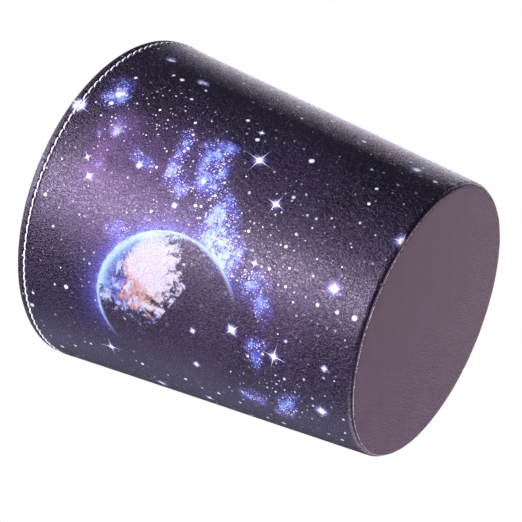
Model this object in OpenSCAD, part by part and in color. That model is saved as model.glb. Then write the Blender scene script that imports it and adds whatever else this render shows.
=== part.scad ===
// Conical dice cup.
// A stiff board cup covered in leather cloth, lined with flannel, stitched round the rim and
// closed underneath by a disc of plain leather cloth.
// Millimetres. The cup stands upright: the origin is the centre of its underside, +Z goes up
// through the open mouth, and the seam of the covering faces +Y.

/* [Overall] */

// Height from the table to the top of the rim
cup_h = 90; // [80:1:100]
// Outer diameter at the mouth
mouth_d = 85; // [82:0.5:92]
// Outer diameter at the base
base_d = 68; // [64:0.5:72]

/* [Wall] */

// Thickness of the leather cloth covering
leather_t = 0.9; // [0.7:0.1:1.2]
// Thickness of the board tube inside the wall
core_t = 1.6; // [1.4:0.1:2.2]
// Thickness of the flannel lining
lining_t = 0.8; // [0.6:0.1:1.2]
// Depth of the covering turned in over the rim
turn_in = 8; // [6:0.5:14]
// Gap where the two ends of the covering meet
seam_gap = 0.3; // [0.2:0.1:0.5]

/* [Base] */

// Width of the covering turned in under the base
turn_under = 8; // [6:0.5:10]
// Thickness of the disc stuck on the underside
cover_t = 0.6; // [0.5:0.1:1]
// How far the disc stays back from the edge of the base
cover_inset = 0.5; // [0.3:0.1:1]
// Thickness of the board disc at the bottom
base_board_t = 2.2; // [1.6:0.1:3]
// Thickness of the card under the flannel floor
floor_card_t = 1; // [0.8:0.1:1.5]

/* [Stitching] */

// Number of stitches round the rim
stitch_count = 120; // [100:2:130]
// Diameter of the thread
thread_d = 0.5; // [0.4:0.1:0.6]
// Distance from the top of the rim to the stitch line
stitch_drop = 2.3; // [1.8:0.1:3]
// Diameter of the needle holes
hole_d = 0.7; // [0.7:0.1:0.9]
// Gap between the ends of two stitches
stitch_gap = 0.7; // [0.6:0.1:0.9]

/* [Hidden] */

$fn = 96;

// growth of the radius for each millimetre of height, and the lean of the wall
slope = (mouth_d - base_d) / 2 / cup_h;
lean = atan(slope);

// wall thickness at the rim, where the covering lies on both faces
rim_t = leather_t + core_t + lining_t + leather_t;
// clearance that keeps neighbouring skins from cutting into each other
skin_gap = 0.02;

// levels, from the table up
fold_z = cover_t;
board_z = fold_z + leather_t;
card_z = board_z + base_board_t;
floor_z = card_z + floor_card_t;
cavity_z = floor_z + lining_t;
core_top_z = cup_h - leather_t;
turn_in_z = cup_h - turn_in;
stitch_z = cup_h - stitch_drop;

// the stitch line on the two faces of the rim
stitch_out_r = base_d / 2 + slope * stitch_z - 0.05;
stitch_in_r = base_d / 2 + slope * stitch_z - rim_t + 0.05;
groove_r = thread_d / 2 + 0.04;
stitch_step = 360 / stitch_count;
// middle of the wall, where the needle thread and the bobbin thread cross
lock_r = (stitch_out_r + stitch_in_r) / 2;

leather_color = [0.13, 0.11, 0.22];
cover_color = [0.33, 0.24, 0.27];
board_color = [0.52, 0.49, 0.45];
card_color = [0.72, 0.68, 0.6];
flannel_color = [0.05, 0.05, 0.06];
thread_color = [0.88, 0.88, 0.9];

// radius of the outer surface at height z
function wall_r(z) = base_d / 2 + slope * z;

// point at height z, a depth t inside the outer surface
function wall_point(z, t) = [wall_r(z) - t, z];

// centre of a rounded corner of radius leather_t that touches the outer surface at height z
function outer_corner(z) = [wall_r(z) - leather_t / cos(lean), z];

// the same against the inner face of the rim
function inner_corner(z) = [wall_r(z) - rim_t + leather_t / cos(lean), z];

// where such a corner touches the leaning surface
function touch(c, side) = [c[0] + side * leather_t * cos(lean), c[1] - side * leather_t * sin(lean)];

module seam_slot(inner_r) {
  translate([-seam_gap / 2, inner_r, -1])
    cube([seam_gap, mouth_d, cup_h + 2]);
}

// needle holes through everything that lies under the rim's stitch line
module needle_holes() {
  for (i = [0 : stitch_count - 1])
    rotate([0, 0, (i + 0.5) * stitch_step])
      translate([wall_r(stitch_z) - rim_t - 1, 0, stitch_z])
        rotate([0, 90, 0])
          cylinder(d = hole_d, h = rim_t + 2);
}

// Section of the covering: under the base, up the wall, over the rim and down inside.
module wrap_section() {
  low = outer_corner(fold_z + leather_t);
  top = outer_corner(cup_h - leather_t);
  inn = inner_corner(cup_h - leather_t);
  under_r = base_d / 2 - turn_under;
  difference() {
    union() {
      polygon([
        [under_r, fold_z],
        [low[0], fold_z],
        touch(low, 1),
        touch(top, 1),
        [top[0], cup_h],
        [inn[0], cup_h],
        touch(inn, -1),
        wall_point(turn_in_z, rim_t),
        [under_r, turn_in_z]
      ]);
      translate(low)
        circle(r = leather_t);
      translate(top)
        circle(r = leather_t);
      translate(inn)
        circle(r = leather_t);
    }
    polygon([
      [under_r - 1, board_z],
      wall_point(board_z, leather_t),
      wall_point(core_top_z, leather_t),
      wall_point(core_top_z, rim_t - leather_t),
      wall_point(turn_in_z, rim_t - leather_t),
      [under_r - 1, turn_in_z]
    ]);
    translate([stitch_out_r, stitch_z])
      circle(r = groove_r);
    translate([stitch_in_r, stitch_z])
      circle(r = groove_r);
  }
}

// Covering: one sheet of printed leather cloth, its two ends meeting at the back.
module outer_wrap() {
  color(leather_color)
    difference() {
      rotate_extrude()
        wrap_section();
      seam_slot(0);
      needle_holes();
    }
}

// Board tube that gives the wall its stiffness.
module core_tube() {
  color(board_color)
    difference() {
      rotate_extrude()
        polygon([
          wall_point(board_z, leather_t + skin_gap),
          wall_point(core_top_z - skin_gap, leather_t + skin_gap),
          wall_point(core_top_z - skin_gap, leather_t + core_t),
          wall_point(board_z, leather_t + core_t)
        ]);
      needle_holes();
    }
}

// Board disc pressed into the bottom of the tube. Its edge leans with the wall.
module base_board() {
  fit = leather_t + core_t + skin_gap;
  color(board_color)
    translate([0, 0, board_z])
      cylinder(
        h = base_board_t,
        r1 = wall_r(board_z) - fit,
        r2 = wall_r(card_z) - fit
      );
}

// Card disc that fills the space inside the turned-under covering.
module base_infill() {
  color(card_color)
    translate([0, 0, fold_z])
      cylinder(h = leather_t, r = base_d / 2 - turn_under - 0.4);
}

// Plain disc stuck over the turned-under edge. The cup stands on it.
module base_cover() {
  color(cover_color)
    cylinder(h = cover_t, r = base_d / 2 - cover_inset);
}

// Flannel stuck to the inside of the tube, its edges meeting at the back.
module lining_wall() {
  t_out = leather_t + core_t + skin_gap;
  t_in = leather_t + core_t + lining_t - skin_gap;
  color(flannel_color)
    difference() {
      rotate_extrude()
        polygon([
          wall_point(card_z, t_out),
          wall_point(core_top_z - skin_gap, t_out),
          wall_point(core_top_z - skin_gap, t_in),
          wall_point(card_z, t_in)
        ]);
      seam_slot(0);
      needle_holes();
    }
}

// Card disc that carries the flannel of the floor.
module floor_card() {
  color(card_color)
    translate([0, 0, card_z])
      cylinder(h = floor_card_t, r = wall_r(card_z) - rim_t + leather_t - lining_t / 2 - 0.1);
}

// Flannel of the floor, turned down round the edge of its card.
module floor_lining() {
  edge_r = wall_r(card_z) - rim_t + leather_t;
  color(flannel_color)
    translate([0, 0, card_z])
      rotate_extrude()
        difference() {
          union() {
            square([edge_r - lining_t / 2, floor_card_t + lining_t]);
            square([edge_r, floor_card_t + lining_t / 2]);
            translate([edge_r - lining_t / 2, floor_card_t + lining_t / 2])
              circle(r = lining_t / 2);
          }
          translate([-1, -1])
            square([edge_r - lining_t / 2 - 0.1 + 1, floor_card_t + 1]);
        }
}

// One stitch on a face of the rim at radius r, with its leg down a needle hole to the lock.
module stitch(r) {
  gap_angle = stitch_gap / r * 180 / PI;
  leg = abs(r - lock_r) - thread_d / 2 - 0.02;
  rotate_extrude(angle = stitch_step - gap_angle)
    translate([r, stitch_z])
      circle(d = thread_d);
  translate([r > lock_r ? r - leg : r, 0, stitch_z])
    rotate([0, 90, 0])
      cylinder(d = thread_d, h = leg);
}

module stitch_ring(r) {
  for (i = [0 : stitch_count - 1])
    rotate([0, 0, (i + 0.5) * stitch_step])
      stitch(r);
}

// Needle thread: the stitches that show on the outside of the rim.
module needle_thread() {
  color(thread_color)
    stitch_ring(stitch_out_r);
}

// Bobbin thread: the stitches on the inside of the rim.
module bobbin_thread() {
  color(thread_color)
    stitch_ring(stitch_in_r);
}

outer_wrap();
core_tube();
base_board();
base_infill();
base_cover();
lining_wall();
floor_card();
floor_lining();
needle_thread();
bobbin_thread();
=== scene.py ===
"""Dice cup: a conical board cup in printed leather cloth, with a sewn rim and a plain brown base.

It stands upright on its base, z up, with the seam at the back (+Y). Meshes are worked out in
millimetres. The camera looks up at it from below the floor, rolled, so that it seems to lie down.
"""
import math

import bmesh
import bpy
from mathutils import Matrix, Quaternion, Vector, noise


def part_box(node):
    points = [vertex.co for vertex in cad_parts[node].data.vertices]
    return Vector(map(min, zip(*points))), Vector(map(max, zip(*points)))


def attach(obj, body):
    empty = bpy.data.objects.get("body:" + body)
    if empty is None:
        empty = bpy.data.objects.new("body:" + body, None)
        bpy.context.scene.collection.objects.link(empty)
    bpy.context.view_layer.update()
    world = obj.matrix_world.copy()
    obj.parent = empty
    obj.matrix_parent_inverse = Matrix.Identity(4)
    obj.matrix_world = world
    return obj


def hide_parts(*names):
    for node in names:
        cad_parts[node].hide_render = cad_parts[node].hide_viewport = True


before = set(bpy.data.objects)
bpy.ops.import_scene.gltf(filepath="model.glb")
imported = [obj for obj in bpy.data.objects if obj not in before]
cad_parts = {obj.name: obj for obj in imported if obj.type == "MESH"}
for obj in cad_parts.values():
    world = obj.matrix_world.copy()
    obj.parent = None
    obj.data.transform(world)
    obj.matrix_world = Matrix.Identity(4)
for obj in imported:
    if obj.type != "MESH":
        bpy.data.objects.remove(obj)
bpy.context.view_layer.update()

MM = 0.001

# ---- sizes in millimetres, from the frame --------------------------------------------------

_, WRAP_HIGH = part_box("outer_wrap")
_, COVER_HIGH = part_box("base_cover")
_, CORE_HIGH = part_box("core_tube")
_, FLOOR_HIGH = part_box("floor_lining")
LINING_LOW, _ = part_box("lining_wall")
NEEDLE_LOW, NEEDLE_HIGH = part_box("needle_thread")

CUP_H = WRAP_HIGH[2] / MM
MOUTH_R = WRAP_HIGH[0] / MM
COVER_R = COVER_HIGH[0] / MM
COVER_T = COVER_HIGH[2] / MM
LEATHER_T = (WRAP_HIGH[2] - CORE_HIGH[2]) / MM
LINING_Z = LINING_LOW[2] / MM
FLOOR_Z = FLOOR_HIGH[2] / MM
FLOOR_R = FLOOR_HIGH[0] / MM
STITCH_Z = (NEEDLE_LOW[2] + NEEDLE_HIGH[2]) / 2 / MM
THREAD_R = (NEEDLE_HIGH[2] - NEEDLE_LOW[2]) / 2 / MM

# ---- sizes in millimetres that the boxes don't tell ----------------------------------------

# the covering reaches this far past the edge of the disc under the base
DISC_INSET = 0.5
BASE_R = COVER_R + DISC_INSET

# covering, board and flannel, and the same with the covering folded in over the rim
WALL_T = 3.3
RIM_T = 4.2
FLANNEL_T = 0.75

# how far the covering is folded in over the rim and in under the base
TURN_IN = 8.0
TURN_UNDER = 8.0

# the gap between the covering's two ends at the back, and half of the flannel's
SEAM_GAP = 0.3
LINING_HALF_GAP = 0.12

STITCHES = 120
STITCH_STEP = math.tau / STITCHES

SLOPE = (MOUTH_R - BASE_R) / CUP_H
LEAN = math.atan(SLOPE)


def wall_r(z):
    """Radius of the outer surface at height z, in millimetres."""
    return BASE_R + SLOPE * z


# ---- mesh helpers -------------------------------------------------------------------------


def add_object(name, verts, faces, closed=True):
    """A mesh object from vertices in millimetres. A closed one is smooth, its faces turned outwards."""
    mesh = bpy.data.meshes.new(name)
    mesh.from_pydata([(x * MM, y * MM, z * MM) for x, y, z in verts], [], faces)
    mesh.validate()
    if closed:
        shell = bmesh.new()
        shell.from_mesh(mesh)
        bmesh.ops.recalc_face_normals(shell, faces=shell.faces)
        shell.to_mesh(mesh)
        shell.free()
    mesh.update()
    for poly in mesh.polygons:
        poly.use_smooth = closed
    obj = bpy.data.objects.new(name, mesh)
    bpy.context.scene.collection.objects.link(obj)
    return obj


def grid_faces(rows, cols):
    """Quads of a grid of vertices numbered row * cols + col, closed from the last column to the first."""
    faces = []
    for i in range(rows - 1):
        for j in range(cols):
            a = i * cols + j
            b = i * cols + (j + 1) % cols
            faces.append((a, b, b + cols, a + cols))
    return faces


def end_faces(last_row, cols):
    """The two faces that close such a grid's first and last row."""
    first = tuple(range(cols))
    last = tuple(last_row * cols + k for k in reversed(range(cols)))
    return [first, last]


def revolved_faces(rings, steps):
    """Faces of rings of vertices round an axis, between a first vertex and a last one on it."""
    faces = [(0, 1 + i, 1 + (i + 1) % steps) for i in range(steps)]
    for k in range(rings - 1):
        for i in range(steps):
            a = 1 + k * steps + i
            b = 1 + k * steps + (i + 1) % steps
            faces.append((a, a + steps, b + steps, b))
    last_ring = 1 + (rings - 1) * steps
    centre = 1 + rings * steps
    for i in range(steps):
        faces.append((last_ring + (i + 1) % steps, last_ring + i, centre))
    return faces


def polar(angle, r, z):
    """Point at an angle in radians from the front (-Y), growing towards +X."""
    return (r * math.sin(angle), -r * math.cos(angle), z)


def ripple(angle, z, scale, seed):
    """Smooth noise on the wall, in -1 to 1, the same at both ends of a full turn."""
    p = Vector((math.sin(angle), -math.cos(angle), z / 40.0)) * scale
    return noise.noise(p + Vector((seed, seed * 1.7, seed * 0.3)))


def arc(cx, cz, r, start, end, steps):
    """Points of an arc in the section, angles in degrees up from the outward direction."""
    points = []
    for i in range(steps + 1):
        a = math.radians(start + (end - start) * i / steps)
        points.append((cx + r * math.cos(a), cz + r * math.sin(a)))
    return points


def line(p, q, steps):
    """Points between p and q, without q."""
    return [
        (p[0] + (q[0] - p[0]) * i / steps, p[1] + (q[1] - p[1]) * i / steps)
        for i in range(steps)
    ]


# ---- the covering -------------------------------------------------------------------------


def cover_section():
    """Closed section of the leather sheet as (r, z, printed): the printed face, then the glued one."""
    t = LEATHER_T
    lean = math.degrees(LEAN)
    low_z = COVER_T
    top_z = CUP_H - t
    slant_t = t / math.cos(LEAN)
    under_r = BASE_R - TURN_UNDER
    base_arc = arc(wall_r(low_z + t) - slant_t, low_z + t, t, -90, -lean, 8)
    top_arc = arc(wall_r(top_z) - slant_t, top_z, t, -lean, 90, 10)
    inn_arc = arc(wall_r(top_z) - RIM_T + slant_t, top_z, t, 90, 180 + lean, 8)
    turn_z = CUP_H - TURN_IN
    printed = line((under_r, low_z), base_arc[0], 5)
    printed += base_arc[:-1]
    wall_b = (wall_r(CUP_H - 5), CUP_H - 5)
    printed += line(base_arc[-1], wall_b, 48)
    printed += line(wall_b, top_arc[0], 26)
    printed += top_arc
    printed += inn_arc
    inner_m = (wall_r(CUP_H - 3) - RIM_T, CUP_H - 3)
    inner_b = (wall_r(turn_z) - RIM_T, turn_z)
    printed += line(inn_arc[-1], inner_m, 14)[1:]
    printed += line(inner_m, inner_b, 6)
    printed.append(inner_b)
    glued = [
        (wall_r(turn_z) - RIM_T + t, turn_z),
        (wall_r(CUP_H - t) - RIM_T + t, CUP_H - t),
        (wall_r(CUP_H - t) - t, CUP_H - t),
    ]
    glued += line((wall_r(CUP_H - 4) - t, CUP_H - 4), (wall_r(low_z + t) - t, low_z + t), 8)
    glued += [(wall_r(low_z + t) - t, low_z + t), (under_r, low_z + t)]
    return [(r, z, True) for r, z in printed] + [(r, z, False) for r, z in glued]


def bell(offset, width):
    """Smooth bump, 1 at no offset."""
    return math.exp(-(offset / width) ** 2)


def stitch_pull(angle, z):
    """How far the thread pulls the leather in: a valley with a deeper needle hole at each end."""
    valley_w = 0.42
    drop = (z - STITCH_Z) / valley_w
    if abs(drop) > 3:
        return 0.0
    phase = (angle / STITCH_STEP - 0.5) % 1.0
    to_hole = min(phase, 1 - phase) * STITCH_STEP * MOUTH_R
    valley = 0.20 * bell(drop, 1.0)
    hole = 0.34 * bell(drop, 1.0) * bell(to_hole, 0.26)
    swell = 0.05 * bell(abs(drop) - 1.9, 0.8)
    return valley + hole - swell


def cover_move(angle, r, z):
    """How far a point on the printed face stands out from the plain cone."""
    on_wall = r > wall_r(z) - 1.2
    move = 0.0
    if on_wall:
        move += 0.06 * ripple(angle, z, 1.6, 3.1) + 0.015 * ripple(angle, z, 5.0, 9.4)
        move += 0.10 * ripple(angle, z, 16.0, 5.2) * bell(z - 1.6, 1.6)
        move -= stitch_pull(angle, z)
    elif z > CUP_H - TURN_IN:
        move += 0.06 * ripple(angle, z, 7.0, 12.0)
        move += stitch_pull(angle, z)
    to_seam = (math.pi - abs(angle)) * r
    if to_seam < 3:
        move -= 0.35 * bell(to_seam, 0.5) * (1 if on_wall else -1)
    return move


def rim_lift(angle, z):
    """How far the rim's edge rises and falls, fading out over the top twentieth of the wall."""
    near_top = max(0.0, z / CUP_H - 0.95) * 20
    return 0.05 * ripple(angle, z, 9.0, 21.0) * near_top


def unrolled(angle, path):
    """Where a point of the cone lies on the flat printed sheet, in millimetres."""
    apex = (BASE_R + SLOPE * CUP_H / 2) / math.sin(LEAN)
    reach = apex + path
    spread = angle * math.sin(LEAN)
    return reach * math.sin(spread), reach * math.cos(spread) - apex


def make_cover():
    """The printed leather sheet: folded under the base, over the rim, and split at the back."""
    section = cover_section()
    cols = len(section)
    turns = 1080
    lengths = [0.0]
    for (r0, z0, _), (r1, z1, _) in zip(section, section[1:]):
        lengths.append(lengths[-1] + math.hypot(r1 - r0, z1 - z0))
    middle = min(range(cols), key=lambda k: abs(section[k][1] - CUP_H / 2))
    verts = []
    sheet = []
    for i in range(turns + 1):
        for (r, z, printed), length in zip(section, lengths):
            open_angle = SEAM_GAP / 2 / r
            angle = -math.pi + open_angle + (math.tau - 2 * open_angle) * i / turns
            if printed:
                verts.append(polar(angle, r + cover_move(angle, r, z), z + rim_lift(angle, z)))
            else:
                verts.append(polar(angle, r, z))
            sheet.append(unrolled(angle, length - lengths[middle]))
    faces = grid_faces(turns + 1, cols) + end_faces(turns, cols)
    obj = add_object("printed_leather_cover", verts, faces)
    layer = obj.data.attributes.new("sheet", "FLOAT_VECTOR", "POINT")
    for i, (u, v) in enumerate(sheet):
        layer.data[i].vector = (u, v, 0.0)
    return obj


# ---- stitches -----------------------------------------------------------------------------


# share of the thread's radius that shows: thread is pressed flatter than the CAD's round bar
THREAD_SHARE = 0.78

# how deep a stitch starts under the leather's surface, and how high its middle rises from there
STITCH_SINK = 0.45
STITCH_RISE = 0.47


def make_stitches(name, side):
    """Stitches of twisted thread. side is 1 on the outside of the rim, -1 on the inside."""
    rings = 15
    sides = 10
    face_r = wall_r(STITCH_Z) - (0 if side > 0 else RIM_T)
    verts = []
    faces = []
    for s in range(STITCHES):
        wobble = noise.noise(Vector((s * 0.73, side * 4.0, 0.5)))
        start = len(verts)
        for i in range(rings):
            t = i / (rings - 1)
            angle = (s + 0.5 + 0.02 + 0.96 * t) * STITCH_STEP
            bow = math.sin(math.pi * t) ** 0.35
            r_mid = face_r + side * (-STITCH_SINK + (STITCH_RISE + 0.02 * wobble) * bow)
            z_mid = STITCH_Z + side * 0.14 * (t - 0.5) + 0.04 * wobble
            fullness = min(1.0, math.sin(math.pi * (0.06 + 0.88 * t)) * 2.2)
            thick = THREAD_SHARE * THREAD_R * (0.5 + 0.5 * fullness)
            for j in range(sides):
                a = math.tau * j / sides
                ply = 1 + 0.10 * math.cos(2 * (a - 7.0 * t))
                rr = r_mid + thick * ply * math.cos(a)
                zz = z_mid + thick * ply * math.sin(a)
                verts.append(polar(angle, rr, zz))
        one = grid_faces(rings, sides) + end_faces(rings - 1, sides)
        faces += [tuple(start + k for k in face) for face in one]
    return add_object(name, verts, faces)


# ---- base disc ----------------------------------------------------------------------------


def make_base_disc():
    """The plain disc underneath, cut by hand: its edge is a little ragged, its faces not quite flat."""
    turns = 720
    t = COVER_T
    # radius, height, and how far the ragged cut shows
    rows = [(COVER_R * k / 14.0, 0.0, 0.0) for k in range(1, 14)]
    rows += [(COVER_R - 0.8, 0.0, 0.3), (COVER_R - 0.4, 0.01, 0.6), (COVER_R - 0.16, 0.05, 1.0)]
    rows += [(COVER_R - 0.04, 0.16, 1.0), (COVER_R, 0.34, 1.0), (COVER_R, 0.56, 1.0)]
    rows += [(COVER_R - 0.05, t, 1.0), (COVER_R - 1.2, t, 0.0), (COVER_R * 0.5, t, 0.0)]
    verts = [(0.0, 0.0, 0.02)]
    for r, z, edge in rows:
        for i in range(turns):
            angle = math.tau * i / turns
            around = Vector((math.sin(angle), math.cos(angle), z * 0.4))
            cut = 0.10 * noise.noise(around * 9.0) + 0.07 * noise.noise(around * 60.0)
            cut += 0.05 * noise.noise(around * 170.0)
            p = polar(angle, r, 0.0)
            wave = 0.03 + 0.03 * noise.noise(Vector((p[0] / 14.0, p[1] / 14.0, 2.0)))
            low = z + wave * (1.0 if z < 0.3 else 0.0)
            frill = 0.05 * edge * noise.noise(around * 90.0 + Vector((0, 0, z * 5)))
            verts.append(polar(angle, r + edge * cut, min(t, low + max(0.0, frill))))
    verts.append((0.0, 0.0, t))
    faces = revolved_faces(len(rows), turns)
    return add_object("base_leather_disc", verts, faces)


# ---- flannel ------------------------------------------------------------------------------


def make_lining():
    """Flannel on the inside of the wall, soft and a little uneven, its edges meeting at the back."""
    turns = 720
    levels = 80
    low = LINING_Z
    high = CUP_H - LEATHER_T - 0.1
    free_top = CUP_H - TURN_IN
    shares = [k / (levels - 1) for k in range(levels)]
    section = [(share, True) for share in shares] + [(share, False) for share in reversed(shares)]
    verts = []
    for i in range(turns + 1):
        for share, inner in section:
            z = low + (high - low) * share
            r = wall_r(z) - (WALL_T if inner else WALL_T - FLANNEL_T)
            open_angle = LINING_HALF_GAP / r
            angle = -math.pi + open_angle + (math.tau - 2 * open_angle) * i / turns
            if inner and z < free_top - 0.3:
                nap = 0.10 * noise.noise(Vector(polar(angle, r, z)) * 0.9)
                soft = 0.12 * noise.noise(Vector(polar(angle, r, z)) * 0.12)
                seam = bell((math.pi - abs(angle)) * r, 0.6)
                ends = min(1.0, (free_top - z) / 1.5)
                r += (nap + soft - 0.05) * ends + 0.35 * seam
            verts.append(polar(angle, r, z))
    cols = len(section)
    faces = grid_faces(turns + 1, cols) + end_faces(turns, cols)
    return add_object("flannel_wall", verts, faces)


def make_floor_flannel():
    """Flannel disc on the cup's floor, rolled down at the edge."""
    turns = 360
    edge = FLOOR_R
    rows = [(edge * k / 30.0, 0.0) for k in range(1, 29)]
    rows += [(edge - 0.9, -0.03), (edge - 0.4, -0.12), (edge - 0.12, -0.32), (edge - 0.02, -0.6)]
    rows += [(edge - 0.02, -1.6), (edge - 0.35, -1.6), (edge - 0.4, -0.85), (edge * 0.5, -0.8)]
    verts = [(0.0, 0.0, FLOOR_Z)]
    for r, drop in rows:
        for i in range(turns):
            angle = math.tau * i / turns
            p = Vector(polar(angle, r, 0.0))
            nap = 0.08 * noise.noise(p * 0.9) + 0.10 * noise.noise(p * 0.10)
            lift = nap - 0.1 if drop > -0.5 else 0.0
            verts.append((p.x, p.y, FLOOR_Z + drop + lift))
    verts.append((0.0, 0.0, FLOOR_Z - 0.8))
    faces = revolved_faces(len(rows), turns)
    return add_object("flannel_floor", verts, faces)


# ---- node helpers -------------------------------------------------------------------------


class Paint:
    """Short calls for building one material's nodes."""

    def __init__(self, name):
        self.material = bpy.data.materials.new(name)
        self.material.use_nodes = True
        self.tree = self.material.node_tree
        self.tree.nodes.clear()
        self.shader = self.node("ShaderNodeBsdfPrincipled")
        self.out = self.node("ShaderNodeOutputMaterial")
        self.link(self.shader.outputs[0], self.out.inputs["Surface"])

    def node(self, kind, **props):
        made = self.tree.nodes.new(kind)
        for key, value in props.items():
            setattr(made, key, value)
        return made

    def link(self, source, socket):
        self.tree.links.new(source, socket)

    def feed(self, socket, value):
        if isinstance(value, bpy.types.NodeSocket):
            self.link(value, socket)
        else:
            socket.default_value = value

    def math(self, op, a, b=None, c=None):
        made = self.node("ShaderNodeMath", operation=op)
        for socket, value in zip(made.inputs, (a, b, c)):
            if value is not None:
                self.feed(socket, value)
        return made.outputs[0]

    def clamp(self, value):
        """0 to 1. Two plain nodes, as the clamp setting makes Cycles run out of shader stack."""
        return self.math("MINIMUM", self.math("MAXIMUM", value, 0.0), 1.0)

    def vec(self, op, a, b=None):
        made = self.node("ShaderNodeVectorMath", operation=op)
        self.feed(made.inputs[0], a)
        if b is not None:
            self.feed(made.inputs[1], b)
        is_number = op in ("LENGTH", "DOT_PRODUCT", "DISTANCE")
        return made.outputs["Value" if is_number else "Vector"]

    def ramp(self, value, low, high, to_low=0.0, to_high=1.0, smooth=True):
        """From to_low at low to to_high at high, and flat beyond both."""
        kind = "SMOOTHSTEP" if smooth else "LINEAR"
        made = self.node("ShaderNodeMapRange", interpolation_type=kind, clamp=not smooth)
        for socket, number in zip(made.inputs, (value, low, high, to_low, to_high)):
            self.feed(socket, number)
        return made.outputs[0]

    def mix(self, share, a, b, blend="MIX"):
        """Colour a, with a share of colour b laid over it."""
        made = self.node("ShaderNodeMix", data_type="RGBA", blend_type=blend)
        self.feed(made.inputs[0], share)
        self.feed(made.inputs[6], a)
        self.feed(made.inputs[7], b)
        return made.outputs[2]

    def colours(self, value, stops):
        """Colour ramp with (place, colour) stops."""
        made = self.node("ShaderNodeValToRGB")
        ramp = made.color_ramp
        while len(ramp.elements) < len(stops):
            ramp.elements.new(0.5)
        for element, (place, colour) in zip(ramp.elements, stops):
            element.position = place
            element.color = (*colour, 1.0)
        self.feed(made.inputs[0], value)
        return made.outputs[0]

    def cloud(self, where, scale, detail=4.0, rough=0.55, warp=0.0, flat=False):
        """Noise, mostly between 0.3 and 0.7."""
        made = self.node("ShaderNodeTexNoise", noise_dimensions="2D" if flat else "3D")
        self.feed(made.inputs["Vector"], where)
        made.inputs["Scale"].default_value = scale
        made.inputs["Detail"].default_value = detail
        made.inputs["Roughness"].default_value = rough
        made.inputs["Distortion"].default_value = warp
        return made.outputs[0]

    def cells(self, where, scale, feature="F1"):
        made = self.node("ShaderNodeTexVoronoi", feature=feature, voronoi_dimensions="2D")
        self.feed(made.inputs["Vector"], where)
        made.inputs["Scale"].default_value = scale
        return made

    def place(self):
        """Object coordinates in millimetres."""
        made = self.node("ShaderNodeTexCoord")
        scaled = self.node("ShaderNodeVectorMath", operation="SCALE")
        self.link(made.outputs["Object"], scaled.inputs[0])
        scaled.inputs["Scale"].default_value = 1.0 / MM
        return scaled.outputs[0]

    def bump(self, height, distance):
        """Small relief, its distance in millimetres."""
        made = self.node("ShaderNodeBump")
        made.inputs["Strength"].default_value = 1.0
        made.inputs["Distance"].default_value = distance * MM
        self.feed(made.inputs["Height"], height)
        self.link(made.outputs[0], self.shader.inputs["Normal"])

    def set(self, **values):
        """Inputs of the shader by name, with _ for a space."""
        for key, value in values.items():
            self.feed(self.shader.inputs[key.replace("_", " ")], value)


# ---- the printed night sky ----------------------------------------------------------------

# planet: angle from the front in degrees, height and radius in millimetres
PLANET = (-32.0, 48.3, 19.0)

# blue clouds: angle, height, half width, half height, strength
CLOUDS = (
    (-5.5, 37.5, 7, 6.5, 1.1),
    (3.5, 41, 9, 5, 0.9),
    (12, 42.5, 6, 3, 0.55),
    (15, 48, 8, 5.5, 0.5),
    (23, 49, 9, 6, 0.45),
    (29, 50, 4.5, 4, 0.5),
    (12, 56, 6, 5, 0.6),
    (22, 57, 10, 4, 0.5),
    (30, 59, 4, 3, 0.5),
    (-11, 28, 5, 6, 0.55),
    (-18, 24.5, 5, 4, 0.45),
    (-34, 25, 6, 4, 0.5),
    (-41, 24, 5, 3, 0.35),
    (-60, 18, 8, 5, 0.55),
    (-52, 16, 4, 4, 0.4),
    (-60, 27, 6, 5, 0.35),
    (33, 81, 7, 5, 0.6),
    (14, 66, 4, 6, 0.35),
    (-11, 64, 5, 5, 0.4),
    (95, 60, 16, 9, 0.6),
    (118, 48, 12, 8, 0.6),
    (-118, 62, 14, 10, 0.6),
    (-140, 46, 12, 8, 0.5),
    (165, 26, 12, 7, 0.5),
)

# purple clouds, the same way
HAZE = (
    (2, 72, 26, 22, 0.55),
    (14, 55, 20, 20, 0.45),
    (21, 75, 9, 8, 0.8),
    (6, 76, 8, 8, 0.7),
    (-26, 36, 14, 10, 0.35),
    (-20, 20, 24, 14, 0.25),
    (105, 58, 32, 22, 0.5),
    (-125, 55, 30, 22, 0.5),
    (170, 40, 30, 22, 0.4),
)

# half width of a ray at the heart of a star, and of its blue glow for a core of size 1
RAY_WIDTH = 0.13
GLOW_R = 2.1

# stars: angle, height, reach of the rays, size of the core, turn of the rays in degrees
STARS = (
    (23, 87.5, 5.0, 1.6, -14),
    (31, 40.5, 5.5, 1.3, -11),
    (18, 31, 3.8, 1.0, -12),
    (-58, 65, 5.0, 0.9, 4),
    (-76, 55, 2.6, 1.4, 0),
    (-51, 40.5, 1.4, 0.8, 5),
    (-36, 41, 1.2, 0.7, 30),
    (-30, 31, 3.0, 1.0, 42),
    (-34.5, 20, 4.8, 1.1, -9),
    (-2, 10, 2.2, 1.5, 15),
    (-53, 8, 2.4, 1.4, 10),
    (24, 0.8, 3.0, 1.5, 8),
    (62, 10.5, 1.8, 1.3, 25),
    (-32, 7.5, 1.2, 0.8, 6),
    (-4, 29.5, 2.0, 0.6, 0),
    (4, 53, 1.0, 0.8, 45),
    (42.5, 45, 1.4, 0.6, 15),
    (-74, 41, 2.2, 1.0, 60),
    (8, 78.5, 2.0, 0.35, 45),
    (2.5, 76, 2.2, 0.4, 50),
    (12, 65.5, 1.4, 0.6, 20),
    (85, 47, 5.5, 1.1, -8),
    (112, 70, 4.5, 1.0, 12),
    (140, 30, 5.5, 1.1, 5),
    (-105, 28, 5.0, 1.0, -10),
    (-135, 74, 4.5, 0.9, 8),
    (-165, 20, 4.0, 0.9, 0),
)

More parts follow.
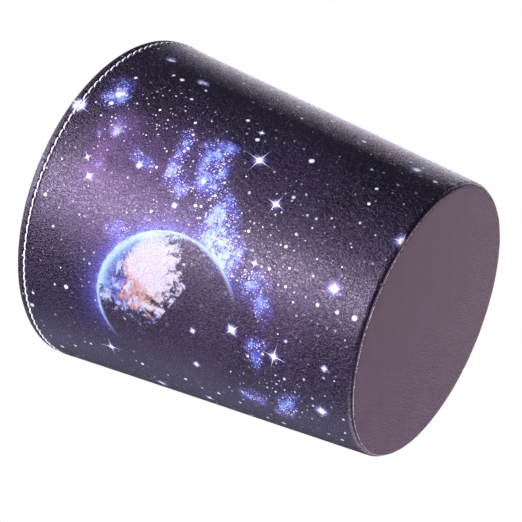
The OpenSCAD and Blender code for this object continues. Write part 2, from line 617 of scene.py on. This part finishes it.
# bright knots of gas: angle, height, half width, half height, strength
KNOTS = (
    (33, 81, 3.4, 2.6, 1.5),
    (30, 84, 4.0, 2.2, 0.5),
    (21, 75.4, 4.8, 4.0, 1.1),
    (17, 79, 2.4, 2.0, 0.7),
    (8, 78.5, 2.2, 2.0, 0.8),
    (7, 75.2, 2.2, 2.0, 0.8),
    (2.5, 76, 2.4, 2.2, 0.8),
    (12, 65.5, 2.2, 1.8, 0.8),
    (59, 80, 2.6, 3.6, 1.4),
    (54, 67.5, 2.2, 3.0, 1.2),
    (23, 87.5, 3.2, 2.6, 1.0),
    (62, 26, 2.0, 2.2, 0.9),
    (-30, 31, 2.6, 3.4, 0.7),
    (100, 66, 3.6, 2.8, 1.2),
    (124, 52, 3.0, 3.0, 1.1),
    (-122, 58, 3.4, 3.0, 1.2),
    (-96, 70, 2.8, 2.4, 1.0),
    (172, 34, 3.2, 2.6, 1.1),
)

# stretches of sky that are full of small stars: angle, height, half width, half height, strength
BANKS = (
    (30, 64, 20, 17, 1.0),
    (8, 52, 15, 22, 0.9),
    (2, 28, 20, 16, 0.8),
    (-50, 20, 18, 16, 0.8),
    (16, 77, 16, 11, 0.6),
    (100, 58, 30, 22, 0.9),
    (-122, 56, 28, 22, 0.9),
    (170, 34, 26, 20, 0.8),
)


def on_sheet(angle, z):
    """A place on the printed sheet from an angle in degrees and a height."""
    path = (z - CUP_H / 2) / math.cos(LEAN)
    u, v = unrolled(math.radians(angle), path)
    return (u, v, 0.0)


def blobs(p, where, places):
    """Sum of soft ellipses."""
    total = None
    for angle, z, wide, high, strength in places:
        off = p.vec("SUBTRACT", where, on_sheet(angle, z))
        off = p.vec("MULTIPLY", off, (1.0 / wide, 1.0 / high, 0.0))
        soft = p.ramp(p.vec("LENGTH", off), 1.0, 0.0, 0.0, strength)
        total = soft if total is None else p.math("ADD", total, soft)
    return total


def drifted(p, where, scale, far):
    """The same place moved about by noise, so that round shapes lose their outline."""
    made = p.node("ShaderNodeTexNoise", noise_dimensions="2D")
    p.link(where, made.inputs["Vector"])
    made.inputs["Scale"].default_value = scale
    made.inputs["Detail"].default_value = 4.0
    made.inputs["Roughness"].default_value = 0.55
    off = p.vec("SUBTRACT", made.outputs["Color"], (0.5, 0.5, 0.5))
    off = p.vec("MULTIPLY", off, (far, far, 0.0))
    return p.vec("ADD", where, off)


def star_field(p, where, cell, size, share, power=1.0):
    """Small round stars: one to a cell, of random size, in only a share of the cells."""
    spots = p.cells(where, 1.0 / cell)
    split = p.node("ShaderNodeSeparateColor")
    p.link(spots.outputs["Color"], split.inputs[0])
    keep = p.ramp(split.outputs[0], 1.0 - share, 1.0, smooth=False)
    grow = p.math("POWER", split.outputs[1], power)
    radius = p.math("MULTIPLY", p.math("MULTIPLY_ADD", grow, 0.75, 0.25), size / cell)
    radius = p.math("MULTIPLY", radius, p.math("MULTIPLY_ADD", keep, 0.6, 0.4))
    near = p.math("SUBTRACT", 1.0, p.math("DIVIDE", spots.outputs["Distance"], radius))
    glow = p.clamp(p.math("MULTIPLY", near, 2.6))
    on = p.math("GREATER_THAN", keep, 0.001)
    return p.math("MULTIPLY", glow, on), split.outputs[2]


def ray(p, along, across, reach):
    """One thin ray through a star, tapering to both ends."""
    left = p.clamp(p.math("MULTIPLY_ADD", along, -1.0 / reach, 1.0))
    width = p.math("MULTIPLY_ADD", left, RAY_WIDTH, 0.02)
    thin = p.clamp(p.math("SUBTRACT", 1.0, p.math("DIVIDE", across, width)))
    return p.math("MULTIPLY", p.math("MULTIPLY", thin, left), 1.5)


def big_stars(p, where):
    """Bright cores and the thin rays that cross them."""
    total = None
    for angle, z, reach, core, turn in STARS:
        off = p.vec("SUBTRACT", where, on_sheet(angle, z))
        a = math.radians(turn - angle * math.sin(LEAN))
        x = p.math("ABSOLUTE", p.vec("DOT_PRODUCT", off, (math.cos(a), math.sin(a), 0.0)))
        y = p.math("ABSOLUTE", p.vec("DOT_PRODUCT", off, (-math.sin(a), math.cos(a), 0.0)))
        rays = p.math("MAXIMUM", ray(p, x, y, reach), ray(p, y, x, reach))
        away = p.vec("LENGTH", off)
        heart = p.math("POWER", p.math("DIVIDE", core * 0.38, away), 3.5)
        glow = p.ramp(away, core * GLOW_R, 0.0, 0.0, 0.50)
        one = p.math("ADD", rays, p.math("MINIMUM", heart, 2.0))
        one = p.math("ADD", one, glow)
        total = one if total is None else p.math("ADD", total, one)
    return total


def off_from(p, value, place):
    """How far a value is from a place."""
    return p.math("ABSOLUTE", p.math("SUBTRACT", value, place))


def planet_land(p, flat, rough, fine):
    """The land's colour, brown to pale, and how much of it covers the sea."""
    off = p.vec("SUBTRACT", flat, (0.42, 0.25, 0.0))
    along = p.vec("DOT_PRODUCT", off, (0.94 / 0.66, -0.34 / 0.66, 0.0))
    beside = p.vec("DOT_PRODUCT", off, (0.34 / 0.40, 0.94 / 0.40, 0.0))
    spread = p.math("ADD", p.math("POWER", along, 2.0), p.math("POWER", beside, 2.0))
    land = p.math("SUBTRACT", 1.12, spread)
    land = p.math("ADD", land, p.math("MULTIPLY_ADD", rough, 2.2, -1.1))
    ripe = p.math("MULTIPLY_ADD", along, 0.30, p.math("MULTIPLY", land, 0.22))
    shade = p.math("ADD", p.math("MULTIPLY_ADD", fine, 0.75, 0.14), ripe)
    soil = p.colours(shade, [
        (0.26, (0.12, 0.04, 0.05)),
        (0.37, (0.36, 0.16, 0.13)),
        (0.50, (0.43, 0.30, 0.29)),
        (0.62, (0.50, 0.46, 0.54)),
    ])
    return soil, p.ramp(land, 0.05, 0.30)


def planet_face(p, flat, out, lit, rough, fine):
    """The planet by day: blue sea, land, white cloud, and pale blue air towards the edge."""
    sea = p.colours(fine, [
        (0.34, (0.014, 0.009, 0.085)),
        (0.48, (0.036, 0.030, 0.190)),
        (0.58, (0.110, 0.150, 0.480)),
        (0.72, (0.430, 0.520, 0.740)),
    ])
    soil, land = planet_land(p, flat, rough, fine)
    face = p.mix(land, sea, soil)
    wisps = p.cloud(p.vec("MULTIPLY", flat, (1.0, 1.7, 1.0)), 6.0, 9.0, 0.74, 0.5, flat=True)
    near_dusk = p.ramp(off_from(p, lit, 0.04), 0.18, 0.0, 0.0, 0.09)
    white = p.ramp(p.math("ADD", wisps, near_dusk), 0.52, 0.64)
    face = p.mix(p.math("MULTIPLY", white, 0.9), face, (0.50, 0.52, 0.74, 1.0))
    air = p.ramp(out, 0.74, 0.98)
    face = p.mix(p.math("MULTIPLY", air, 0.75), face, (0.20, 0.36, 0.66, 1.0))
    edge_line = p.ramp(off_from(p, out, 0.955), 0.06, 0.0)
    edge_line = p.math("MULTIPLY", edge_line, p.ramp(rough, 0.2, 0.8, 0.35, 0.95))
    return p.mix(edge_line, face, (0.42, 0.62, 0.78, 1.0))


def planet_day(p, out, lit, limb_lit, rough, fine):
    """Share of daylight: a round patch with a broken border, and a thin line along the lit edge."""
    broken = p.math("ADD", lit, p.math("MULTIPLY_ADD", fine, 1.1, -0.55))
    broken = p.math("ADD", broken, p.math("MULTIPLY_ADD", rough, 0.5, -0.25))
    patch = p.ramp(broken, -0.02, 0.16)
    edge_day = p.ramp(limb_lit, -0.22, 0.30)
    thin_edge = p.ramp(out, 0.93, 0.99)
    return p.math("MAXIMUM", patch, p.math("MULTIPLY", edge_day, thin_edge))


def planet_halo(p, out, limb_lit, fine):
    """Blue glow outside the lit edge, paler close to it."""
    halo = p.math("POWER", math.e, p.math("MULTIPLY", p.math("SUBTRACT", out, 0.985), -8.5))
    outside = p.ramp(out, 0.96, 0.99)
    halo = p.math("MULTIPLY", p.math("MULTIPLY", halo, outside), p.ramp(limb_lit, -0.30, 0.50))
    halo = p.math("MULTIPLY", halo, p.ramp(fine, 0.3, 0.7, 0.6, 1.15))
    glow = p.mix(halo, (0.0, 0.0, 0.0, 1.0), (0.08, 0.07, 0.42, 1.0))
    return p.mix(p.math("POWER", halo, 5.0), glow, (0.16, 0.28, 0.60, 1.0))


def planet(p, where, sky):
    """The sky with a plain made-up planet in it, and how clear each place is for small stars."""
    angle, z, radius = PLANET
    flat = p.vec("SUBTRACT", where, on_sheet(angle, z))
    flat = p.vec("MULTIPLY", flat, (1.0 / radius, 1.0 / radius, 0.0))
    out = p.vec("LENGTH", flat)
    lit = p.math("SUBTRACT", 0.70, p.vec("DISTANCE", flat, (0.42, 0.58, 0.0)))
    limb_lit = p.vec("DOT_PRODUCT", flat, (0.80, 0.60, 0.0))
    rough = p.cloud(flat, 3.2, 8.0, 0.66, 0.2, flat=True)
    fine = p.cloud(flat, 8.0, 9.0, 0.74, 0.2, flat=True)

    face = planet_face(p, flat, out, lit, rough, fine)
    day = planet_day(p, out, lit, limb_lit, rough, fine)
    inside = p.ramp(out, 1.0, 0.985)
    night = (0.020, 0.013, 0.030, 1.0)
    dark_disc = p.mix(p.math("MULTIPLY", inside, 0.8), sky, night)
    with_day = p.mix(p.math("MULTIPLY", day, inside), dark_disc, face)
    glow = planet_halo(p, out, limb_lit, fine)
    covered = p.math("MULTIPLY", p.math("MAXIMUM", day, p.math("MULTIPLY", inside, 0.9)), inside)
    return p.mix(1.0, with_day, glow, "ADD"), p.math("SUBTRACT", 1.0, covered)


def gas(p, where, turbulence):
    """The dark sky with its purple haze and blue clouds, and where the blue clouds are."""
    broad = p.cloud(where, 0.045, 4.0, 0.5, 0.2, flat=True)
    sky = p.colours(broad, [(0.30, (0.003, 0.002, 0.008)), (0.75, (0.012, 0.007, 0.026))])
    haze = blobs(p, where, HAZE)
    haze = p.math("MULTIPLY", haze, p.ramp(turbulence, 0.20, 0.75, 0.25, 1.0))
    sky = p.mix(haze, sky, (0.125, 0.060, 0.185, 1.0))

    clouds = blobs(p, drifted(p, where, 0.11, 9.0), CLOUDS)
    thick = p.math("MULTIPLY", clouds, p.ramp(turbulence, 0.36, 0.64, 0.22, 1.45))
    blue = p.colours(thick, [
        (0.02, (0.0, 0.0, 0.0)),
        (0.22, (0.014, 0.014, 0.100)),
        (0.45, (0.045, 0.070, 0.340)),
        (0.72, (0.15, 0.27, 0.62)),
        (1.00, (0.28, 0.45, 0.70)),
    ])
    sky = p.mix(1.0, sky, blue, "ADD")
    mist = p.math("MULTIPLY", p.ramp(clouds, 0.0, 0.8), 0.50)
    return p.mix(mist, sky, (0.045, 0.035, 0.26, 1.0), "SCREEN"), clouds


def small_stars(p, where, clouds):
    """Dust in the clouds, two sizes of small stars in the banks, larger ones all over; and a hue."""
    banks = blobs(p, drifted(p, where, 0.09, 12.0), BANKS)
    dust, _ = star_field(p, where, 0.62, 0.30, 0.80)
    dust = p.math("MULTIPLY", dust, p.ramp(clouds, 0.03, 0.40))
    scatter, _ = star_field(p, where, 1.15, 0.34, 0.30, 1.3)
    scatter = p.math("MULTIPLY", scatter, p.ramp(banks, 0.12, 0.60))
    small, hue = star_field(p, where, 2.4, 0.50, 0.45, 1.4)
    small = p.math("MULTIPLY", small, p.ramp(banks, 0.0, 0.5, 0.30, 1.0))
    large, _ = star_field(p, where, 5.2, 0.85, 0.45, 1.2)
    blink = p.math("MAXIMUM", p.math("MAXIMUM", dust, scatter), p.math("MAXIMUM", small, large))
    return blink, hue


def night_sky(p, where):
    """The print's colour."""
    turbulence = p.cloud(where, 0.24, 10.0, 0.68, 0.25, flat=True)
    sky, clouds = gas(p, where, turbulence)
    sky, clear = planet(p, where, sky)

    blink, hue = small_stars(p, where, clouds)
    star_white = p.colours(hue, [(0.2, (0.50, 0.62, 1.0)), (0.6, (0.92, 0.92, 1.0))])
    sky = p.mix(p.math("MULTIPLY", blink, clear), sky, star_white)

    knots = blobs(p, drifted(p, where, 0.5, 1.6), KNOTS)
    knots = p.math("MULTIPLY", p.math("POWER", knots, 1.8), p.ramp(turbulence, 0.36, 0.64, 0.25, 0.85))
    stars = p.math("ADD", big_stars(p, where), knots)
    tint = p.colours(stars, [
        (0.0, (0.0, 0.0, 0.0)),
        (0.18, (0.08, 0.10, 0.50)),
        (0.55, (0.62, 0.66, 1.0)),
        (0.90, (1.0, 1.0, 1.0)),
    ])
    return p.mix(p.clamp(stars), sky, tint, "SCREEN")


def leather_grain(p, sheet):
    """Height of the leather's grain: pebbles with creases between them and broader wrinkles."""
    bent = p.vec("MULTIPLY", drifted(p, sheet, 0.8, 1.5), (1.15, 0.82, 1.0))
    pebble = p.cells(bent, 1.75, "SMOOTH_F1")
    creases = p.cells(bent, 1.75, "DISTANCE_TO_EDGE")
    groove = p.ramp(creases.outputs["Distance"], 0.0, 0.18)
    folds = p.cloud(bent, 1.25, 1.0, 0.5, 0.2, flat=True)
    wrinkle = p.ramp(off_from(p, folds, 0.5), 0.0, 0.14)
    height = p.math("MULTIPLY_ADD", pebble.outputs["Distance"], -0.6, p.math("MULTIPLY", groove, 0.35))
    return p.math("ADD", height, wrinkle), groove


def printed_leather():
    """Printed leather cloth: the night sky under a satin skin, with painted shade in the creases of its
    grain.
    """
    p = Paint("printed_leather")
    sheet = p.node("ShaderNodeAttribute", attribute_name="sheet").outputs["Vector"]
    colour = night_sky(p, sheet)
    grain, groove = leather_grain(p, sheet)
    hair = p.cloud(sheet, 2.6, 2.0, 0.5, flat=True)
    p.bump(p.math("MULTIPLY_ADD", hair, 0.2, grain), 0.058)
    rough = p.ramp(hair, 0.3, 0.7, 0.23, 0.31)
    # painted shade: the print is darkened in the creases of the grain, where shade would fall
    shade = p.ramp(groove, 0.0, 1.0, 0.30, 0.0)
    painted_crease_shade = p.mix(shade, colour, (0.006, 0.004, 0.010, 1.0))
    p.set(Base_Color=painted_crease_shade, Roughness=rough, Coat_Weight=0.05, Coat_Roughness=0.35)
    p.set(Specular_IOR_Level=0.6, Specular_Tint=(0.86, 0.70, 1.0, 1.0))
    return p.material


def base_leather():
    """Plain brown leather cloth with a fine woven emboss and a pale cut edge; painted shade darkens the
    emboss's low parts, the +X side and most of the edge.
    """
    p = Paint("base_leather")
    where = p.place()
    split = p.node("ShaderNodeSeparateXYZ")
    p.link(where, split.inputs[0])
    diagonal = p.math("ADD", split.outputs[0], split.outputs[1])
    across = p.math("SUBTRACT", split.outputs[0], split.outputs[1])
    bend = p.cloud(where, 0.25, 3.0, 0.5)
    wave_a = p.math("SINE", p.math("MULTIPLY_ADD", bend, 7.0, p.math("MULTIPLY", diagonal, 7.4)))
    wave_b = p.math("SINE", p.math("MULTIPLY_ADD", bend, -7.0, p.math("MULTIPLY", across, 6.6)))
    weave = p.math("MULTIPLY", wave_a, wave_b)
    grit = p.cloud(where, 2.2, 5.0, 0.65)
    height = p.math("MULTIPLY_ADD", weave, 0.35, p.math("MULTIPLY", grit, 1.1))
    p.bump(height, 0.09)
    mottled = p.cloud(where, 0.12, 5.0, 0.6)
    colour = p.colours(p.math("MULTIPLY_ADD", grit, 0.35, p.math("MULTIPLY", mottled, 0.65)), [
        (0.32, (0.056, 0.014, 0.034)),
        (0.52, (0.086, 0.028, 0.068)),
        (0.72, (0.116, 0.046, 0.104)),
    ])
    # painted shade: darker in the low parts of the woven emboss
    colour = p.mix(p.ramp(weave, -0.6, 0.8, 0.40, 0.0), colour, (0.050, 0.022, 0.034, 1.0))
    # painted shade: the disc turns redder and darker towards +X, as the light falls across it
    painted_shade_to_x = p.ramp(split.outputs[0], -COVER_R, COVER_R, 0.0, 0.55)
    colour = p.mix(painted_shade_to_x, colour, (0.090, 0.020, 0.036, 1.0))
    radial = p.vec("LENGTH", p.vec("MULTIPLY", where, (1.0, 1.0, 0.0)))
    fibre = p.cloud(where, 3.0, 6.0, 0.75)
    rim = p.math("MULTIPLY_ADD", fibre, 0.50, p.math("SUBTRACT", radial, COVER_R + 0.05))
    pale = p.ramp(rim, -0.02, 0.10)
    side = p.math("ADD", split.outputs[2], p.math("MULTIPLY_ADD", fibre, 0.50, -0.25))
    # painted shadow: the disc's edge is dark, and the real pale cut shows only in broken spots near its
    # bottom face
    bare = p.math("MULTIPLY", p.ramp(side, 0.32, 0.17), p.ramp(fibre, 0.46, 0.56))
    cut = p.mix(bare, (0.040, 0.024, 0.031, 1.0), (0.78, 0.72, 0.73, 1.0))
    colour = p.mix(pale, colour, cut)
    rough = p.ramp(grit, 0.3, 0.7, 0.50, 0.66)
    p.set(Base_Color=colour, Roughness=rough, Specular_IOR_Level=0.4)
    p.set(Specular_Tint=(0.92, 0.74, 1.0, 1.0))
    return p.material


def thread():
    """White twisted thread, a little grey where its fine relief is low: painted shade in its folds."""
    p = Paint("thread")
    where = p.place()
    fibre = p.cloud(p.vec("MULTIPLY", where, (1.0, 1.0, 3.0)), 6.0, 4.0, 0.6)
    # painted shade: greyer where the fibre relief is low
    colour = p.colours(fibre, [(0.28, (0.66, 0.65, 0.69)), (0.50, (0.90, 0.90, 0.93))])
    p.bump(fibre, 0.05)
    p.set(Base_Color=colour, Roughness=0.62, Sheen_Weight=0.2)
    return p.material


def flannel():
    """Black flannel with a short, uneven nap."""
    p = Paint("flannel")
    where = p.place()
    nap = p.cloud(where, 3.2, 6.0, 0.72)
    patch = p.cloud(where, 0.22, 4.0, 0.6)
    shade = p.math("MULTIPLY_ADD", patch, 0.45, p.math("MULTIPLY", nap, 0.55))
    colour = p.colours(shade, [(0.35, (0.008, 0.008, 0.010)), (0.65, (0.034, 0.034, 0.040))])
    p.bump(nap, 0.16)
    rough = p.ramp(nap, 0.3, 0.7, 0.86, 0.98)
    p.set(Base_Color=colour, Roughness=rough, Sheen_Weight=0.55, Sheen_Roughness=0.45)
    p.set(Specular_IOR_Level=0.2)
    return p.material


def pressed_fibre(name, dark, light):
    """Board or card: pressed fibre with flecks."""
    p = Paint(name)
    where = p.place()
    fibre = p.cloud(p.vec("MULTIPLY", where, (1.0, 1.0, 2.4)), 1.6, 7.0, 0.7, 0.8)
    colour = p.colours(fibre, [(0.35, dark), (0.65, light)])
    rough = p.ramp(fibre, 0.3, 0.7, 0.80, 0.95)
    p.bump(fibre, 0.05)
    p.set(Base_Color=colour, Roughness=rough)
    return p.material


# ---- assembly -----------------------------------------------------------------------------


def dress(piece, node, material):
    """The piece stands for a CAD node and takes a material."""
    piece.data.materials.append(material)
    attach(piece, "root")
    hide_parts(node)


def finish_hidden(node, material):
    """A CAD node that keeps its own shape takes a material."""
    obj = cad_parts[node]
    if not obj.material_slots:
        obj.data.materials.append(material)
    for held in obj.material_slots:
        held.material = material


def build_cup():
    """Every piece in its place; the board and card pieces keep their CAD shapes."""
    leather = printed_leather()
    white = thread()
    soft = flannel()
    board = pressed_fibre("board", (0.20, 0.18, 0.16), (0.34, 0.31, 0.28))
    card = pressed_fibre("card", (0.42, 0.38, 0.31), (0.60, 0.56, 0.48))
    dress(make_cover(), "outer_wrap", leather)
    dress(make_stitches("rim_stitches_outside", 1), "needle_thread", white)
    dress(make_stitches("rim_stitches_inside", -1), "bobbin_thread", white)
    dress(make_base_disc(), "base_cover", base_leather())
    dress(make_lining(), "lining_wall", soft)
    dress(make_floor_flannel(), "floor_lining", soft)
    finish_hidden("core_tube", board)
    finish_hidden("base_board", board)
    finish_hidden("base_infill", card)
    finish_hidden("floor_card", card)


# ---- stage, light and camera --------------------------------------------------------------


def make_floor():
    """Plain pale floor, seen only from above: the camera looks up at the cup from below it."""
    half = 1600
    z = -0.3
    corners = [(-half, -half, z), (half, -half, z), (half, half, z), (-half, half, z)]
    floor = add_object("floor", corners, [(0, 1, 2, 3)], closed=False)
    p = Paint("floor")
    speck = p.cloud(p.place(), 0.02, 3.0, 0.5)
    p.set(Base_Color=p.colours(speck, [(0.3, (0.78, 0.78, 0.79)), (0.7, (0.82, 0.82, 0.83))]))
    p.set(Roughness=0.9)
    see_through = p.node("ShaderNodeBsdfTransparent")
    from_below = p.node("ShaderNodeNewGeometry").outputs["Backfacing"]
    mixer = p.node("ShaderNodeMixShader")
    p.link(from_below, mixer.inputs[0])
    p.link(p.shader.outputs[0], mixer.inputs[1])
    p.link(see_through.outputs[0], mixer.inputs[2])
    p.link(mixer.outputs[0], p.out.inputs["Surface"])
    floor.data.materials.append(p.material)
    floor.visible_shadow = False
    floor.visible_diffuse = False
    floor.visible_glossy = False


def softbox(name, azimuth, elevation, distance, size, power, colour):
    """Area light aimed at the cup: angles in degrees, azimuth 0 the front and 90 the right; metres."""
    data = bpy.data.lights.new(name, "AREA")
    data.shape = "RECTANGLE"
    data.size, data.size_y = size
    data.energy = power
    data.color = colour
    obj = bpy.data.objects.new(name, data)
    a, e = math.radians(azimuth), math.radians(elevation)
    way = Vector((math.sin(a) * math.cos(e), -math.cos(a) * math.cos(e), math.sin(e)))
    obj.location = Vector((0, 0, CUP_H * MM / 2)) + way * distance
    obj.rotation_mode = "QUATERNION"
    obj.rotation_quaternion = way.to_track_quat("Z", "Y")
    bpy.context.scene.collection.objects.link(obj)


def background(tree, colour, strength):
    made = tree.nodes.new("ShaderNodeBackground")
    made.inputs["Color"].default_value = (*colour, 1.0)
    made.inputs["Strength"].default_value = strength
    return made.outputs[0]


def light_world():
    """White to look at, and a dim lilac as a light."""
    world = bpy.data.worlds.new("studio")
    world.use_nodes = True
    tree = world.node_tree
    tree.nodes.clear()
    lighting = background(tree, (0.80, 0.80, 0.90), 0.10)
    seen = background(tree, (1.0, 1.0, 1.0), 1.0)
    rays = tree.nodes.new("ShaderNodeLightPath")
    mixer = tree.nodes.new("ShaderNodeMixShader")
    out = tree.nodes.new("ShaderNodeOutputWorld")
    tree.links.new(rays.outputs["Is Camera Ray"], mixer.inputs[0])
    tree.links.new(lighting, mixer.inputs[1])
    tree.links.new(seen, mixer.inputs[2])
    tree.links.new(mixer.outputs[0], out.inputs["Surface"])
    bpy.context.scene.world = world


def light_scene():
    """A strong soft light along the front, a rim light, weak fills, and a light for the floor."""
    softbox("front_sheen", -6, 20, 0.60, (0.26, 0.60), 8.4, (0.95, 0.90, 1.0))
    softbox("right_rim", 158, 0, 0.60, (0.38, 0.80), 2.3, (0.92, 0.84, 1.0))
    softbox("left_fill", -120, 20, 0.80, (0.60, 0.90), 1.35, (0.68, 0.66, 1.0))
    softbox("under_rake", -105, -28, 0.42, (0.40, 0.30), 1.5, (0.95, 0.92, 1.0))
    softbox("under", -165, -25, 0.70, (0.70, 0.50), 2.3, (0.98, 0.86, 1.0))
    softbox("top", 20, 75, 0.80, (0.80, 0.80), 6.0, (1.0, 1.0, 1.0))
    light_world()
    bpy.context.scene.view_settings.view_transform = "Standard"


# angles in degrees, lengths in metres, the lens in millimetres
CAMERA_ELEVATION = -27.5
CAMERA_ROLL = -68.0
CAMERA_AIM = (-0.0016, 0.0, 0.0473)
CAMERA_DISTANCE = 0.4353
CAMERA_LENS = 122.5


def place_camera():
    """Below and in front of the cup, turned so that the cup seems to lie on its side."""
    elevation = math.radians(CAMERA_ELEVATION)
    back = Vector((0.0, -math.cos(elevation), math.sin(elevation)))
    turn = Quaternion((0.0, 0.0, 1.0), math.radians(CAMERA_ROLL))
    data = bpy.data.cameras.new("camera")
    data.sensor_width = 36.0
    data.lens = CAMERA_LENS
    data.clip_start = 0.01
    obj = bpy.data.objects.new("camera", data)
    obj.location = Vector(CAMERA_AIM) + back * CAMERA_DISTANCE
    obj.rotation_mode = "QUATERNION"
    obj.rotation_quaternion = back.to_track_quat("Z", "Y") @ turn
    bpy.context.scene.collection.objects.link(obj)
    bpy.context.scene.camera = obj


build_cup()
make_floor()
light_scene()
place_camera()
